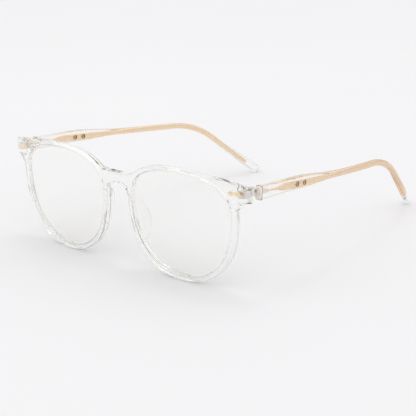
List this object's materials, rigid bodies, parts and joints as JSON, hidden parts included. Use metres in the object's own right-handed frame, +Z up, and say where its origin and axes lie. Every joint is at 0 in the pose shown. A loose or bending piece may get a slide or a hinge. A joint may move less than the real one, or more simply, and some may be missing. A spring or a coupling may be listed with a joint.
{
  "type": "blue light glasses",
  "caption": "Clear-framed glasses with plano blue-light lenses, gold core wires inside clear temples, and two temples that fold inward on small hinges.",
  "frame": {"origin": "middle of the footprint, on the surface that the rims and the temple tips stand on", "axes": "+X to the wearer's left, +Y from the front towards the temple tips (-Y is the way the wearer looks), +Z up"},
  "size_m": [0.1374, 0.1497, 0.0481],
  "materials": {
    "clear_plastic": "polished crystal-clear plastic with a faint cool tint",
    "lens": "polished clear resin with a faint warm tint and a thin coating",
    "gold": "polished champagne-gold metal",
    "hinge_steel": "fine brushed nickel-silver"
  },
  "bodies": {
    "front": {"front_frame": "clear_plastic", "front_hinge_left": "hinge_steel", "front_hinge_right": "hinge_steel", "hinge_screw_left": "hinge_steel", "hinge_screw_right": "hinge_steel", "lens_left": "lens", "lens_right": "lens", "nose_pad_left": "clear_plastic", "nose_pad_right": "clear_plastic", "rivet_plaque_left": "gold", "rivet_plaque_right": "gold"},
    "left_temple": {"temple_left": "clear_plastic", "core_wire_left": "gold", "temple_rivets_left": "gold", "temple_hinge_left": "gold"},
    "right_temple": {"temple_right": "clear_plastic", "core_wire_right": "gold", "temple_rivets_right": "gold", "temple_hinge_right": "gold"}
  },
  "joints": [
    {"name": "left_temple_fold", "type": "hinge", "parent": "front", "child": "left_temple", "pos_m": [0.0656, -0.0637, 0.0415], "axis": [0, 0, 1], "range_deg": [0, 82]},
    {"name": "right_temple_fold", "type": "hinge", "parent": "front", "child": "right_temple", "pos_m": [-0.0656, -0.0637, 0.0415], "axis": [0, 0, -1], "range_deg": [0, 76]}
  ]
}
